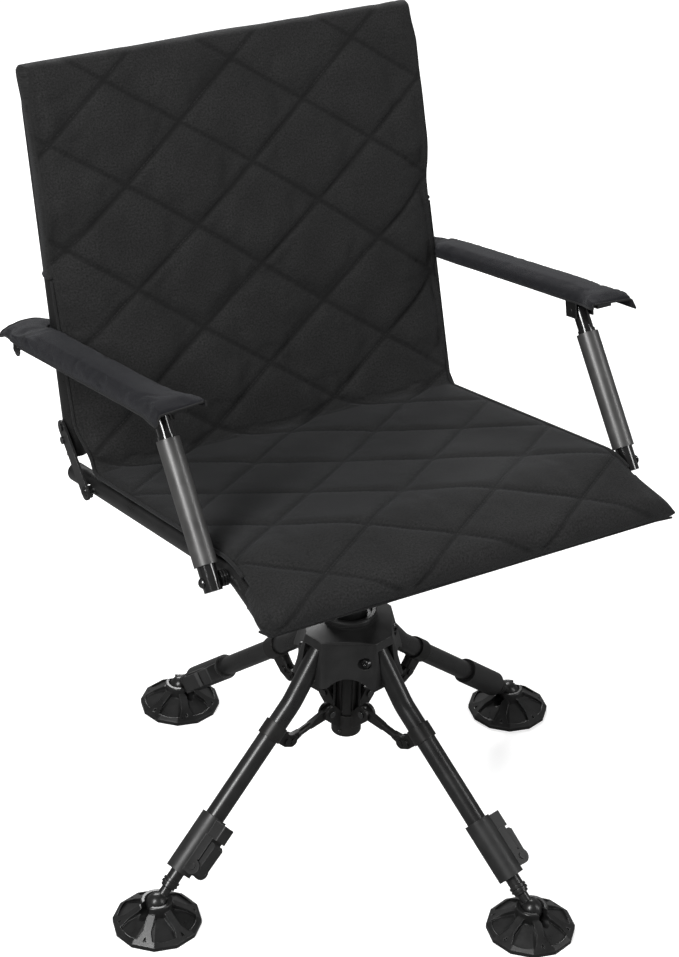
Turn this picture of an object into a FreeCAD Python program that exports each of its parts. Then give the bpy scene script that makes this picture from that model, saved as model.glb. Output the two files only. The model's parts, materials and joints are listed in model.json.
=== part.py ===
import FreeCAD, Part
import math
import os

V = FreeCAD.Vector

# A four-legged swivel chair. The frame stands on z = 0 with the swivel axis on
# Z; the sitter faces -Y, +X is the sitter's left. All lengths are millimetres.

# ---- seat and back -------------------------------------------------------
SEAT_TILT = 12.0            # the seat rises towards its front edge
CREASE_Y = 164.5            # where the seat and back cloth meet
CREASE_Z = 426.2
FRAME_R = 11.0              # seat and back frame tubing
FRAME_WALL = 1.5
RAIL_X = 222.0              # centre line of a seat rail
RAIL_Z = -13.0              # below the cloth, in the tilted seat frame
RAIL_BACK = 70.0            # rail end behind the crease
KNEE = 325.0                # where the seat rail dips towards the front
DIP_ANGLE = 25.0
FRONT = 389.0               # front cross tube
FRONT_BEND_R = 32.0
BACK_X = 226.0
BACK_Y = 52.0
BACK_LOW = 14.0
BACK_TOP = 433.0
BACK_BEND_R = 32.0
CLOTH = 3.0                 # one layer of lined cloth
PAD = 14.0                  # quilted panel thickness
SEAT_TOP = 17.0             # top of the seat cloth above the rail's centre line
FLANGE_LOW = 11.5           # the panel's thin edge lies on the rail
PANEL_HALF = 228.0          # quilted panel, piped edge to piped edge
PADDED_HALF = 204.0         # full thickness between the rails
SLEEVE_HALF = 237.5         # sleeve that wraps a frame tube
SEAT_SLEEVE = 350.0         # front sleeve starts here
BACK_SLEEVE = 218.0         # back sleeve starts this high
BACK_PANEL_LOW = 88.0       # room for the padding to fold
BACK_NECK = 420.0           # the pocket closes over the top tube from here up
NOSE = 4.0                  # the padding's nose sits this far behind the front tube
BACK_LEAN = 0.084           # panel leans back from the crease

# ---- fold hinge, armrests and posts --------------------------------------
HINGE = (8.0, -16.0)        # (y, z) in the seat frame
ARM_PIVOT = (84.0, 138.0)
POST_FOOT = (-322.0, -14.0)
POST_HEAD = (POST_FOOT[0] + ARM_PIVOT[0] - HINGE[0], POST_FOOT[1] + ARM_PIVOT[1] - HINGE[1])
PLATE_X = 237.2             # inner face of the hinge plates
PLATE_T = 3.0
PLATE_EYE_R = 9.5
HINGE_BOLT_R = 4.0
POST_BOLT_R = 3.0
ARM_BOLT_R = 3.0
RIVET_R = 2.5
POST_X = 250.0
POST_R = 12.0
POST_PLUG_R = 9.5
POST_BARE = 27.0            # plug showing beyond each end of the post tube
POST_BARE_FOOT = 16.0
BAR_WIDTH = 18.0
BAR_LOW = 151.0
BAR_T = 6.0
ARM_BACK = 120.0
ARM_FRONT = -300.0
ARM_TOP = 167.0
ARM_LOW = 132.0
ARM_OUTER = 266.6

# ---- swivel --------------------------------------------------------------
SPINDLE_R = 20.0
SPINDLE_BORE = 17.0
SPINDLE_LOW = 243.1
BUSH_R = 24.0
BUSH_LOW = 240.0
BUSH_TOP = 266.0
CAP_LOW = 272.0
CAP_TOP = 276.0
CAP_R = 26.0
RUN = 0.05                  # radial running clearance
PLATE_LOW = -38.0           # swivel plate, in the seat frame
PLATE_TOP = -34.0
PLATE_FRONT = -230.0
PLATE_REAR = -86.0
PLATE_HALF = 72.0
CROSS_Y = (-105.0, -211.0)
CROSS_W = 24.0
CROSS_TOP = -14.0
CROSS_HALF = 214.0          # the rails butt against the seat tubes

# ---- hub and leg linkage, as (radius, height) ----------------------------
LEG_AZIMUTHS = (15.0, 105.0, 195.0, 285.0)
LEG_PIVOT = (50.0, 242.0)
LEG_BEND = (88.0, 195.0)
BALL = (289.5, 27.0)
COLLAR_PIN = (30.0, 154.0)
LEG_PIN = (90.0, 146.0)
BRACKET_BOLT = (98.9, 150.5)
LEG_R = 11.25
LEG_WALL = 1.6
LEG_BEND_R = 70.0
LEG_END = 195.0             # outer tube length below the bend
HUB_LOW = 214.0
HUB_SHOULDER = 265.0
HUB_LOW_CORNER = (64.8, 22.3)   # a leg face's corners, along and across the leg
HUB_TOP_CORNER = (55.2, 12.7)
HUB_EDGE_R = 4.0
WEB_R = 120.0               # the faces between the legs are slightly hollow
WEB_DEPTH = 3.0
NECK_R = 28.5
LIP_R = 31.2
LIP_LOW = 274.0
LIP_TOP = 281.0
SLOT_HALF = 11.5
PIN_SEAT = 20.0             # the hinge pin's head sits in a pocket this far across
PIN_HEAD_R = 5.6
HUB_HOLLOW = 222.0          # hollow underneath that takes the raised collar
HUB_HOLLOW_R = 46.0
COLUMN_R = 15.5
COLUMN_FLUTE = 11.5
COLUMN_TOP = 250.0
COLLAR_R = 17.2
COLLAR_BORE = 13.0
COLLAR_LOW = 115.0
COLLAR_TOP = 144.0
CHEEK_GAP = 3.7             # half the space between two cheeks
CHEEK_T = 3.0
CHEEK_R = 9.5
STRUT_T = 6.0
STRUT_R = 4.3
STRUT_EYE_R = 6.5
PIN_R = 2.5
LEG_PIN_R = 4.0

# ---- clamps, extensions and feet -----------------------------------------
CLAMP_END = 221.4           # clamp bottom, measured from the bend
CLAMP_LONG = 71.0
CLAMP_R = 15.0
EXTENSION_R = 8.0
EXTENSION_WALL = 1.4
EXTENSION_FROM = 60.0
EXTENSION_TO = 232.0
LEVER_PIVOT = (-13.0, 20.0)
LEVER_CAM_R = 8.0
LEVER_HALF = 9.0
EAR_IN = 6.8                # the housing's ears, measured across the leg
EAR_OUT = 10.5
BALL_R = 12.0
STUD_R = 9.6                # collars of the ball stud
STUD_NECK_R = 5.8
FOOT_R = 49.0
FOOT_SIDES = 12
SOCKET_R = 17.5
SLOT_W = 13.0

os.makedirs("parts", exist_ok=True)


# ---- helpers -------------------------------------------------------------
def save(name, *solids):
    shape = solids[0] if len(solids) == 1 else Part.makeCompound(list(solids))
    shape.exportStep("parts/" + name + ".step")


def joined(shapes):
    whole = shapes[0].fuse(list(shapes[1:]))
    return whole.removeSplitter()


def block(x, y, z):
    """A box between the given (low, high) pairs."""
    size = [high - low for low, high in (x, y, z)]
    return Part.makeBox(*size, V(x[0], y[0], z[0]))


def rod(start, end, radius):
    return Part.makeCylinder(radius, (end - start).Length, start, end - start)


def pipe(start, end, radius, bore):
    along = (end - start).normalize()
    return rod(start, end, radius).cut(rod(start - along, end + along, bore))


def cross_rod(x_from, x_to, yz, radius):
    """A rod along X through the point (y, z)."""
    return rod(V(x_from, *yz), V(x_to, *yz), radius)


def face_of(points):
    return Part.Face(Part.makePolygon(list(points) + [points[0]]))


def slab_x(points, x_from, x_to):
    """A plate lying across X, from its (y, z) outline."""
    outline = [V(x_from, y, z) for y, z in points]
    return face_of(outline).extrude(V(x_to - x_from, 0, 0))


def slab_y(points, half):
    """A plate lying across Y, from its (x, z) outline."""
    outline = [V(x, -half, z) for x, z in points]
    return face_of(outline).extrude(V(0, 2 * half, 0))


def link(a, b, radius_a, radius_b, low, high, across):
    """A flat bar with round ends: the hull of two circles, extruded."""
    dx, dy = b[0] - a[0], b[1] - a[1]
    length = math.hypot(dx, dy)
    turn = math.atan2(dy, dx)
    lean = math.acos((radius_a - radius_b) / length)

    def spot(centre, radius, angle):
        u = centre[0] + radius * math.cos(angle)
        v = centre[1] + radius * math.sin(angle)
        return V(low, u, v) if across == "x" else V(u, low, v)

    left_a, right_a = spot(a, radius_a, turn + lean), spot(a, radius_a, turn - lean)
    left_b, right_b = spot(b, radius_b, turn + lean), spot(b, radius_b, turn - lean)
    edges = [
        Part.Arc(left_a, spot(a, radius_a, turn + math.pi), right_a).toShape(),
        Part.LineSegment(right_a, right_b).toShape(),
        Part.Arc(right_b, spot(b, radius_b, turn), left_b).toShape(),
        Part.LineSegment(left_b, left_a).toShape(),
    ]
    depth = high - low
    way = V(depth, 0, 0) if across == "x" else V(0, depth, 0)
    return Part.Face(Part.Wire(edges)).extrude(way)


def bent_wire(points, radii):
    """A line through the points, each inner corner rounded to its radius."""
    edges = []
    start = points[0]
    for before, corner, after, radius in zip(points, points[1:], points[2:], radii):
        back = (before - corner).normalize()
        ahead = (after - corner).normalize()
        half = back.getAngle(ahead) / 2
        reach = radius / math.tan(half)
        enter = corner + back * reach
        leave = corner + ahead * reach
        inward = (back + ahead).normalize()
        middle = corner + inward * (radius / math.sin(half) - radius)
        edges.append(Part.LineSegment(start, enter).toShape())
        edges.append(Part.Arc(enter, middle, leave).toShape())
        start = leave
    edges.append(Part.LineSegment(start, points[-1]).toShape())
    return Part.Wire(edges)


def swept(wire, radius):
    first = wire.Edges[0]
    start = first.valueAt(first.FirstParameter)
    circle = Part.Wire(Part.makeCircle(radius, start, first.tangentAt(first.FirstParameter)))
    return wire.makePipeShell([circle], True, False)


def bent_tube(points, radii, radius, wall):
    wire = bent_wire(points, radii)
    return swept(wire, radius).cut(swept(wire, radius - wall))


def mirrored(shape):
    return shape.mirror(V(0, 0, 0), V(1, 0, 0))


def tilted(shape):
    """Moves a shape from the level seat frame to its place in the chair."""
    turned = FreeCAD.Rotation(V(1, 0, 0), -SEAT_TILT)
    moved = shape.copy()
    moved.Placement = FreeCAD.Placement(V(0, CREASE_Y, CREASE_Z), turned).multiply(moved.Placement)
    return moved


def placed(shape, azimuth):
    """Turns a shape built in the XZ plane to a leg's azimuth."""
    turned = shape.copy()
    turned.rotate(V(0, 0, 0), V(0, 0, 1), azimuth)
    return turned


def radial(point, side=0.0):
    return V(point[0], side, point[1])


# ---- seat frame ----------------------------------------------------------
DIP = math.tan(math.radians(DIP_ANGLE))
FRONT_Z = RAIL_Z - (FRONT - KNEE) * DIP
SEAT_PATH = [
    V(-RAIL_X, RAIL_BACK, RAIL_Z),
    V(-RAIL_X, -KNEE, RAIL_Z),
    V(-RAIL_X, -FRONT, FRONT_Z),
    V(RAIL_X, -FRONT, FRONT_Z),
    V(RAIL_X, -KNEE, RAIL_Z),
    V(RAIL_X, RAIL_BACK, RAIL_Z),
]
SEAT_BENDS = [60.0, FRONT_BEND_R, FRONT_BEND_R, 60.0]
BACK_PATH = [
    V(-BACK_X, BACK_Y, BACK_LOW),
    V(-BACK_X, BACK_Y, BACK_TOP),
    V(BACK_X, BACK_Y, BACK_TOP),
    V(BACK_X, BACK_Y, BACK_LOW),
]
BACK_BENDS = [BACK_BEND_R, BACK_BEND_R]


def both_sides(shape):
    return [shape, mirrored(shape)]


def seat_frame():
    frame = bent_tube(SEAT_PATH, SEAT_BENDS, FRAME_R, FRAME_WALL)
    holes = [cross_rod(-RAIL_X - 20, RAIL_X + 20, HINGE, HINGE_BOLT_R + RUN)]
    holes.append(cross_rod(-RAIL_X - 20, RAIL_X + 20, POST_FOOT, POST_BOLT_R + RUN))
    return frame.cut(holes)


def cross_rails():
    """Two box rails between the seat tubes, their lower corners cut away."""
    tubes = [rod(V(x, -KNEE, RAIL_Z), V(x, RAIL_BACK, RAIL_Z), FRAME_R + RUN)
             for x in (-RAIL_X, RAIL_X)]
    rails = []
    for y in CROSS_Y:
        walls = []
        for inset, half in ((0.0, CROSS_W / 2), (2.0, CROSS_W / 2 - 2.0)):
            low, high = PLATE_TOP + inset, CROSS_TOP - inset
            reach = CROSS_HALF + 2 * inset
            outline = [(-reach, high), (reach, high), (reach, high - 8.0), (reach - 14.0, low),
                       (-reach + 14.0, low), (-reach, high - 8.0)]
            wall = slab_y(outline, half)
            wall.translate(V(0, y, 0))
            walls.append(wall)
        rails.append(walls[0].cut([walls[1]] + tubes + plate_bolt_holes()))
    return rails


def plate_bolt_spots():
    return [(x, y) for y in CROSS_Y for x in (-52.0, 52.0)]


def plate_bolt_holes():
    return [rod(V(x, y, -70), V(x, y, PLATE_TOP + 2.5), 3.0) for x, y in plate_bolt_spots()]


def plate_bolts():
    bolts = []
    for x, y in plate_bolt_spots():
        head = rod(V(x, y, PLATE_LOW - 4), V(x, y, PLATE_LOW), 5.5)
        shank = rod(V(x, y, PLATE_LOW - 1), V(x, y, PLATE_TOP + 2), 3.0 - RUN)
        bolts.append(joined([head, shank]))
    return bolts


def swivel_plate():
    plate = block((-PLATE_HALF, PLATE_HALF), (PLATE_FRONT, PLATE_REAR), (PLATE_LOW, PLATE_TOP))
    upright = [edge for edge in plate.Edges if abs(edge.tangentAt(edge.FirstParameter).z) > 0.9]
    return plate.makeFillet(14.0, upright).cut(plate_bolt_holes())


def spindle():
    above = block((-60, 60), (PLATE_FRONT - 60, PLATE_REAR + 60), (PLATE_LOW, PLATE_LOW + 120))
    tube = pipe(V(0, 0, SPINDLE_LOW), V(0, 0, 450), SPINDLE_R, SPINDLE_BORE)
    flange = pipe(V(0, 0, BUSH_TOP + 0.1), V(0, 0, CAP_LOW - 0.1), BUSH_R - 0.5, SPINDLE_BORE)
    return joined([tube, flange]).cut(tilted(above))


# ---- fold hinge ----------------------------------------------------------
def hinge_plate():
    upper = (BACK_Y + 1, 47.0)
    plate = link(upper, HINGE, 9.0, PLATE_EYE_R, PLATE_X, PLATE_X + PLATE_T, "x")
    plate = plate.cut(cross_rod(230, 245, HINGE, HINGE_BOLT_R + RUN))
    return plate.cut([cross_rod(230, 245, spot, RIVET_R + RUN) for spot in rivet_spots()])


def rivet_spots():
    return [(BACK_Y, 48.0), (BACK_Y, 33.0)]


def bracket_rivet():
    return (BACK_Y, ARM_PIVOT[1])


def rivet(spot):
    shank = cross_rod(BACK_X + 6, PLATE_X + PLATE_T, spot, RIVET_R)
    head = cross_rod(PLATE_X + PLATE_T, PLATE_X + PLATE_T + 2, spot, 4.2)
    return joined([shank, head])


def frame_spacers():
    washer = cross_rod(RAIL_X + FRAME_R + 0.1, PLATE_X - 0.1, HINGE, 8.0)
    washer = washer.cut(cross_rod(220, 260, HINGE, HINGE_BOLT_R + RUN))
    low = RAIL_X + FRAME_R + 0.1
    high = POST_X - POST_PLUG_R - 0.1
    ribs = [cross_rod(low, high, POST_FOOT, 6.5)]
    step = (high - low) / 5
    for index in (0, 2, 4):
        ribs.append(cross_rod(low + index * step, low + (index + 1) * step, POST_FOOT, 8.5))
    spacer = joined(ribs).cut(cross_rod(220, 260, POST_FOOT, POST_BOLT_R + RUN))
    return both_sides(washer) + both_sides(spacer)


def domed_head(x, yz, radius, height):
    """A low round bolt head that faces +X."""
    ball_r = (radius * radius + height * height) / (2 * height)
    ball = Part.makeSphere(ball_r, V(x + height - ball_r, *yz))
    return ball.common(cross_rod(x, x + height + 1, yz, radius))


def hinge_bolts():
    tip = PLATE_X + PLATE_T + 0.1
    shank = cross_rod(RAIL_X - FRAME_R - 2, tip + 1, HINGE, HINGE_BOLT_R)
    nut = cross_rod(RAIL_X - FRAME_R - 6, RAIL_X - FRAME_R - 1, HINGE, 7.0)
    return both_sides(joined([shank, nut, domed_head(tip, HINGE, 6.5, 3.2)]))


def post_bolts():
    tip = POST_X + POST_PLUG_R + 0.1
    shank = cross_rod(RAIL_X - FRAME_R - 2, tip + 1, POST_FOOT, POST_BOLT_R)
    nut = cross_rod(RAIL_X - FRAME_R - 5, RAIL_X - FRAME_R - 1, POST_FOOT, 6.0)
    return both_sides(joined([shank, nut, domed_head(tip, POST_FOOT, 5.5, 3.5)]))


def back_frame():
    frame = bent_tube(BACK_PATH, BACK_BENDS, FRAME_R, FRAME_WALL)
    holes = []
    for spot in rivet_spots() + [bracket_rivet()]:
        for side in (-1, 1):
            holes.append(cross_rod(side * (BACK_X + 5), side * (BACK_X + 15), spot, RIVET_R + RUN))
    return frame.cut(holes)


# ---- armrests and posts, built at +X -------------------------------------
def arm_bracket():
    plate = link(bracket_rivet(), ARM_PIVOT, 9.0, 8.0, PLATE_X, PLATE_X + PLATE_T, "x")
    holes = [cross_rod(230, 245, bracket_rivet(), RIVET_R + RUN)]
    holes.append(cross_rod(230, 245, ARM_PIVOT, ARM_BOLT_R + RUN))
    return plate.cut(holes)


def arm_pivot_bolt():
    shank = cross_rod(PLATE_X - 3, ARM_OUTER + 1.5, ARM_PIVOT, ARM_BOLT_R)
    nut = cross_rod(PLATE_X - 5, PLATE_X - 0.1, ARM_PIVOT, 6.0)
    washer = cross_rod(ARM_OUTER + 0.2, ARM_OUTER + 1.4, ARM_PIVOT, 9.0)
    return joined([shank, nut, washer, domed_head(ARM_OUTER + 1.4, ARM_PIVOT, 6.0, 3.2)])


def arm_bar():
    low, high = POST_X - BAR_WIDTH / 2, POST_X + BAR_WIDTH / 2
    bar = block((low, high), (ARM_FRONT + 8, ARM_PIVOT[0] + 12), (BAR_LOW, BAR_LOW + BAR_T))
    top = (ARM_PIVOT[0], BAR_LOW + 1.0)
    ear = link(top, ARM_PIVOT, 9.0, 9.0, low, low + 3.5, "x")
    ear = ear.common(block((low, high), (0, 140), (0, BAR_LOW + BAR_T)))
    holes = [cross_rod(230, 262, ARM_PIVOT, ARM_BOLT_R + RUN)]
    holes.append(rod(V(POST_X, POST_HEAD[0], 140), V(POST_X, POST_HEAD[0], 160), PIN_R + RUN))
    return joined([bar, ear]).cut(holes)


def arm_clevis():
    """The saddle that takes the post, its cross pin and its screw."""
    y, z = POST_HEAD
    gap = POST_PLUG_R + 0.3
    cheek = POST_PLUG_R + 2.3
    top = BAR_LOW - 0.05
    saddle = block((POST_X - cheek, POST_X + cheek), (y - 9, y + 9), (z - 7, top))
    saddle = saddle.cut(block((POST_X - gap, POST_X + gap), (y - 10, y + 10), (z - 8, top - 2)))
    pin = cross_rod(POST_X - cheek - 0.6, POST_X + cheek + 0.6, POST_HEAD, PIN_R)
    saddle = saddle.cut(cross_rod(POST_X - 20, POST_X + 20, POST_HEAD, PIN_R + RUN))
    screw = rod(V(POST_X, y, top - 1.9), V(POST_X, y, BAR_LOW + BAR_T), PIN_R)
    saddle = saddle.cut(rod(V(POST_X, y, 130), V(POST_X, y, 160), PIN_R + RUN))
    return [saddle, pin, screw]


def arm_pad():
    """The padded sleeve over the bar: a top and an outer skirt."""
    low = POST_X - BAR_WIDTH / 2 - 0.4
    roof = BAR_LOW + BAR_T + 0.2
    pad = block((low, ARM_OUTER), (ARM_FRONT, ARM_BACK), (ARM_LOW, ARM_TOP))
    pad = pad.cut(block((low - 1, ARM_OUTER - CLOTH - 0.8), (ARM_FRONT - 1, ARM_BACK + 1),
                        (ARM_LOW - 1, roof)))
    return pad.cut(cross_rod(ARM_OUTER - 9, ARM_OUTER + 1, ARM_PIVOT, ARM_BOLT_R + 0.4))


def post_axis():
    foot, head = V(POST_X, *POST_FOOT), V(POST_X, *POST_HEAD)
    return foot, head, (head - foot).normalize()


def post_tube():
    foot, head, along = post_axis()
    return pipe(foot + along * POST_BARE_FOOT, head - along * POST_BARE, POST_R, POST_PLUG_R + RUN)


def post_plugs():
    foot, head, along = post_axis()
    reach = 40.0
    lower = rod(foot - along * 10.5, foot + along * reach, POST_PLUG_R)
    upper = rod(head - along * reach, head, POST_PLUG_R - 1.0)
    neck = rod(head - along * reach, head - along * (POST_BARE - 4), POST_PLUG_R)
    knob = Part.makeSphere(POST_PLUG_R - 1.0, head)
    upper = joined([upper, neck, knob])
    lower = lower.cut(cross_rod(230, 270, POST_FOOT, POST_BOLT_R + RUN))
    return [lower, upper.cut(cross_rod(230, 270, POST_HEAD, PIN_R + 0.7))]


# ---- cloth ---------------------------------------------------------------
def above_rail(forward, rise):
    """The (y, z) point this far forward of the crease and above the rail line."""
    if forward <= KNEE:
        return (-forward, RAIL_Z + rise)
    level = RAIL_Z + rise / math.cos(math.radians(DIP_ANGLE))
    return (-forward, level - (forward - KNEE) * DIP)


def rail_band(start, end, high, low, half):
    """A layer that follows the rails between two rises above their centre line."""
    outline = []
    for rise, ends in ((high, (start, end)), (low, (end, start))):
        corner = (-KNEE - rise * math.tan(math.radians(DIP_ANGLE / 2)), RAIL_Z + rise)
        stations = [above_rail(forward, rise) for forward in ends]
        if start < KNEE:
            stations.insert(1, corner)
        outline += stations
    return slab_x(outline, -half, half)


def seat_cushion():
    """A quilted panel on the rails and a sleeve round the front tube."""
    wrap = FRAME_R + CLOTH
    nose = above_rail(FRONT - NOSE, SEAT_TOP - wrap)
    layers = [
        rail_band(4.0, FRONT - NOSE, SEAT_TOP, FLANGE_LOW, PANEL_HALF),
        rail_band(4.0, FRONT - NOSE, SEAT_TOP, SEAT_TOP - PAD, PADDED_HALF),
        rail_band(SEAT_SLEEVE, FRONT, wrap, -wrap, SLEEVE_HALF),
        cross_rod(-SLEEVE_HALF, SLEEVE_HALF, (-FRONT, FRONT_Z), wrap),
        cross_rod(-PANEL_HALF, PANEL_HALF, nose, wrap),
    ]
    pocket = rail_band(SEAT_SLEEVE - 8, FRONT, SEAT_TOP - PAD, -FRAME_R, PADDED_HALF - 3)
    core = swept(bent_wire(SEAT_PATH, SEAT_BENDS), FRAME_R + 0.3)
    mouth = block((-SLEEVE_HALF - 1, SLEEVE_HALF + 1), (-SEAT_SLEEVE, -300), (-90, RAIL_Z + 3))
    return joined(layers).cut(mouth).cut([pocket, core])


def back_cushion():
    """A quilted panel and a pocket that drops over the back frame."""
    def front(z):
        return BACK_LEAN * z

    top = BACK_TOP + FRAME_R + CLOTH
    rear = BACK_Y + FRAME_R + CLOTH
    panel = slab_x([(front(BACK_PANEL_LOW), BACK_PANEL_LOW), (front(top), top),
                    (front(top) + PAD, top), (front(BACK_PANEL_LOW) + PAD, BACK_PANEL_LOW)],
                   -PANEL_HALF, PANEL_HALF)
    pocket = slab_x([(front(BACK_SLEEVE), BACK_SLEEVE), (front(top), top), (rear, top),
                     (rear, BACK_SLEEVE)], -SLEEVE_HALF - 2, SLEEVE_HALF + 2)
    inside = slab_x([(front(BACK_SLEEVE) + PAD, BACK_SLEEVE - 1),
                     (front(BACK_NECK) + PAD, BACK_NECK),
                     (rear - CLOTH, BACK_NECK), (rear - CLOTH, BACK_SLEEVE - 1)],
                    -BACK_X, BACK_X)
    core = swept(bent_wire(BACK_PATH, BACK_BENDS), FRAME_R + 0.3)
    return joined([panel, pocket]).cut([inside, core])


# ---- hub -----------------------------------------------------------------
def hub_ring(corner, z):
    """An eight-sided ring: one side faces each leg, one lies between legs."""
    points = []
    for azimuth in LEG_AZIMUTHS:
        turned = FreeCAD.Rotation(V(0, 0, 1), azimuth)
        for side in (-1, 1):
            points.append(turned.multVec(V(corner[0], side * corner[1], z)))
    return Part.makePolygon(points + [points[0]])


def hub_block():
    """The outside of the casting: a tapered skirt, a shoulder and a lip."""
    skirt = Part.makeLoft([hub_ring(HUB_LOW_CORNER, HUB_LOW), hub_ring(HUB_TOP_CORNER, HUB_SHOULDER)],
                          True, True)
    upright = [edge for edge in skirt.Edges if edge.BoundBox.ZLength > 10]
    skirt = skirt.makeFillet(HUB_EDGE_R, upright)
    profile = [V(0, 0, HUB_SHOULDER - 3), V(57, 0, HUB_SHOULDER - 3), V(57, 0, HUB_SHOULDER),
               V(NECK_R + 3, 0, LIP_LOW - 2), V(NECK_R, 0, LIP_LOW), V(LIP_R, 0, LIP_LOW + 1),
               V(LIP_R, 0, LIP_TOP - 1.5), V(LIP_R - 1.5, 0, LIP_TOP), V(0, 0, LIP_TOP)]
    roof = face_of(profile).revolve(V(0, 0, 0), V(0, 0, 1), 360)
    prism = Part.Face(hub_ring(HUB_TOP_CORNER, HUB_SHOULDER - 5)).extrude(V(0, 0, 30))
    return joined([skirt, roof.common(prism)])


def web_hollow():
    """The shallow round that hollows the face between two legs."""
    low_depth = sum(HUB_LOW_CORNER) * math.sqrt(0.5)
    top_depth = sum(HUB_TOP_CORNER) * math.sqrt(0.5)
    way = V((top_depth - low_depth) / (HUB_SHOULDER - HUB_LOW), 0, 1)
    start = V(low_depth - WEB_DEPTH + WEB_R * way.Length, 0, HUB_LOW)
    return rod(start - way * 10, start + way * 80, WEB_R)


def hub_casting():
    tools = [rod(V(0, 0, 200), V(0, 0, HUB_HOLLOW), HUB_HOLLOW_R)]
    tools.append(rod(V(0, 0, 200), V(0, 0, 290), COLUMN_R + RUN))
    tools.append(rod(V(0, 0, BUSH_LOW), V(0, 0, 290), BUSH_R))
    tools.append(rod(V(0, 0, CAP_LOW), V(0, 0, 290), CAP_R))
    slot = [(30, 195), (104, 195), (61.5, 249.5), (61.5, 252.5), (54, 257.5),
            (40, 257.5), (34, 250), (30, 240)]
    arch = rod(V(36, 0, 189.5), V(90, 0, 189.5), 34.0)
    for azimuth in LEG_AZIMUTHS:
        bore = rod(radial(LEG_PIVOT, -PIN_SEAT), radial(LEG_PIVOT, 19.5), LEG_PIN_R + RUN)
        pocket = rod(radial(LEG_PIVOT, -60), radial(LEG_PIVOT, -PIN_SEAT), PIN_HEAD_R + 1)
        tools += [placed(tool, azimuth) for tool in (slab_y(slot, SLOT_HALF), bore, pocket)]
        tools += [placed(tool, azimuth + 45) for tool in (arch, web_hollow())]
    return hub_block().cut(tools)


def bearing_cap():
    ring = pipe(V(0, 0, CAP_LOW), V(0, 0, CAP_TOP), CAP_R, SPINDLE_R + 0.6)
    rim = max(ring.Edges, key=lambda edge: edge.Length * (edge.CenterOfMass.z > CAP_TOP - 1))
    return ring.makeFillet(1.5, [rim])


def spindle_bush():
    sleeve = pipe(V(0, 0, BUSH_LOW), V(0, 0, BUSH_TOP), BUSH_R, SPINDLE_R + RUN)
    thrust = pipe(V(0, 0, BUSH_LOW), V(0, 0, SPINDLE_LOW - 0.1), BUSH_R, COLUMN_R + 0.8)
    return joined([sleeve, thrust])


def leg_hinge_pin():
    pin = rod(radial(LEG_PIVOT, -PIN_SEAT - 1), radial(LEG_PIVOT, 19), LEG_PIN_R)
    head = rod(radial(LEG_PIVOT, -PIN_SEAT - 5), radial(LEG_PIVOT, -PIN_SEAT), PIN_HEAD_R)
    rim = [edge for edge in head.Edges if edge.CenterOfMass.y < -PIN_SEAT - 4]
    socket = rod(radial(LEG_PIVOT, -PIN_SEAT - 6), radial(LEG_PIVOT, -PIN_SEAT - 3), 2.4)
    return joined([pin, head.makeFillet(1.5, rim)]).cut(socket)


# ---- sliding collar ------------------------------------------------------
def centre_column():
    shaft = rod(V(0, 0, COLLAR_TOP + 1), V(0, 0, COLUMN_TOP), COLUMN_R)
    spigot = rod(V(0, 0, COLLAR_LOW + 4), V(0, 0, COLLAR_TOP + 1), COLLAR_BORE - RUN)
    grooves = []
    for azimuth in LEG_AZIMUTHS:
        channel = block((COLUMN_FLUTE, 20), (-4.2, 4.2), (COLLAR_TOP, COLUMN_TOP + 1))
        grooves.append(placed(channel, azimuth))
        for turn in (24, 66):
            fine = block((COLUMN_R - 1.4, 20), (-0.9, 0.9), (COLLAR_TOP + 6, COLUMN_TOP + 1))
            grooves.append(placed(fine, azimuth + turn))
    return joined([shaft, spigot]).cut(grooves)


def slide_collar():
    ring = pipe(V(0, 0, COLLAR_LOW), V(0, 0, COLLAR_TOP), COLLAR_R, COLLAR_BORE)
    floor = rod(V(0, 0, COLLAR_LOW), V(0, 0, COLLAR_LOW + 3.5), COLLAR_R)
    low_edge = [edge for edge in floor.Edges if edge.CenterOfMass.z < COLLAR_LOW + 1]
    floor = floor.makeFillet(2.5, [low_edge[0]])
    ring = ring.cut(rod(V(0, 0, COLLAR_LOW - 1), V(0, 0, COLLAR_LOW + 3.5), 30)).fuse(floor)
    pieces = [ring]
    shadow = rod(V(0, 0, 100), V(0, 0, 180), COLLAR_BORE + 0.3)
    above = rod(V(0, 0, COLLAR_TOP), V(0, 0, 180), COLUMN_R + 0.4)
    for azimuth in LEG_AZIMUTHS:
        for side in (CHEEK_GAP, -CHEEK_GAP - CHEEK_T):
            arm = link((15.0, 137.0), COLLAR_PIN, 8.0, CHEEK_R, side, side + CHEEK_T, "y")
            hole = rod(radial(COLLAR_PIN, -20), radial(COLLAR_PIN, 20), PIN_R + RUN)
            pieces.append(placed(arm.cut([hole, shadow, above]), azimuth))
    screw_hole = placed(rod(V(10, 0, 124), V(20, 0, 124), 2.0), LEG_AZIMUTHS[2] + 20)
    return joined(pieces).cut(screw_hole)


def collar_bolts():
    bolts = []
    outer = CHEEK_GAP + CHEEK_T
    for azimuth in LEG_AZIMUTHS:
        for side in (-1, 1):
            shank = rod(radial(COLLAR_PIN, side * CHEEK_GAP), radial(COLLAR_PIN, side * outer), PIN_R)
            head = rod(radial(COLLAR_PIN, side * outer), radial(COLLAR_PIN, side * (outer + 1.8)), 4.2)
            bolts.append(placed(joined([shank, head]), azimuth))
    screw = rod(V(COLLAR_BORE + 0.3, 0, 124), V(COLLAR_R + 1.5, 0, 124), 2.0 - RUN)
    bolts.append(placed(screw, LEG_AZIMUTHS[2] + 20))
    return bolts


# ---- one leg, built in the XZ plane --------------------------------------
def leg_direction():
    return (radial(BALL) - radial(LEG_BEND)).normalize()


def down_leg(distance):
    return radial(LEG_BEND) + leg_direction() * distance


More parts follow.
